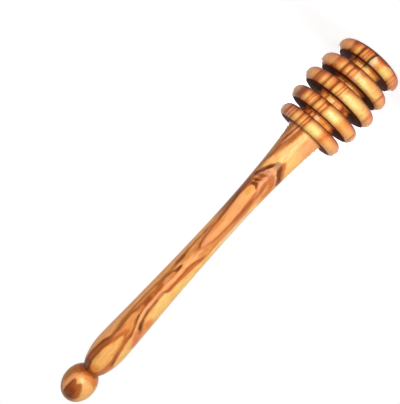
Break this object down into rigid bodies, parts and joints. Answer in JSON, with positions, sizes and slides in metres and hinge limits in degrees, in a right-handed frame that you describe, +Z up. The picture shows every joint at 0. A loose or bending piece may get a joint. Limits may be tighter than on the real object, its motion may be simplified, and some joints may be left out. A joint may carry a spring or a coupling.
{
  "type": "honey dipper",
  "caption": "Turned olive-wood honey dipper: a slim handle with a ball end carries a ringed head whose grooves pick up and drizzle honey.",
  "frame": {"origin": "centre of the head's flat end face, on the surface that the dipper stands on", "axes": "+Z up along the turning axis, from the head's end face to the ball at the handle's end"},
  "size_m": [0.028, 0.028, 0.1597],
  "materials": {
    "olive_wood_handle": "oiled and polished olive wood with long dark figure along the handle",
    "olive_wood_head": "oiled and polished olive wood with dark growth lines across the rings"
  },
  "bodies": {
    "root": {"handle": "olive_wood_handle", "dipper_head": "olive_wood_head"}
  },
  "joints": []
}
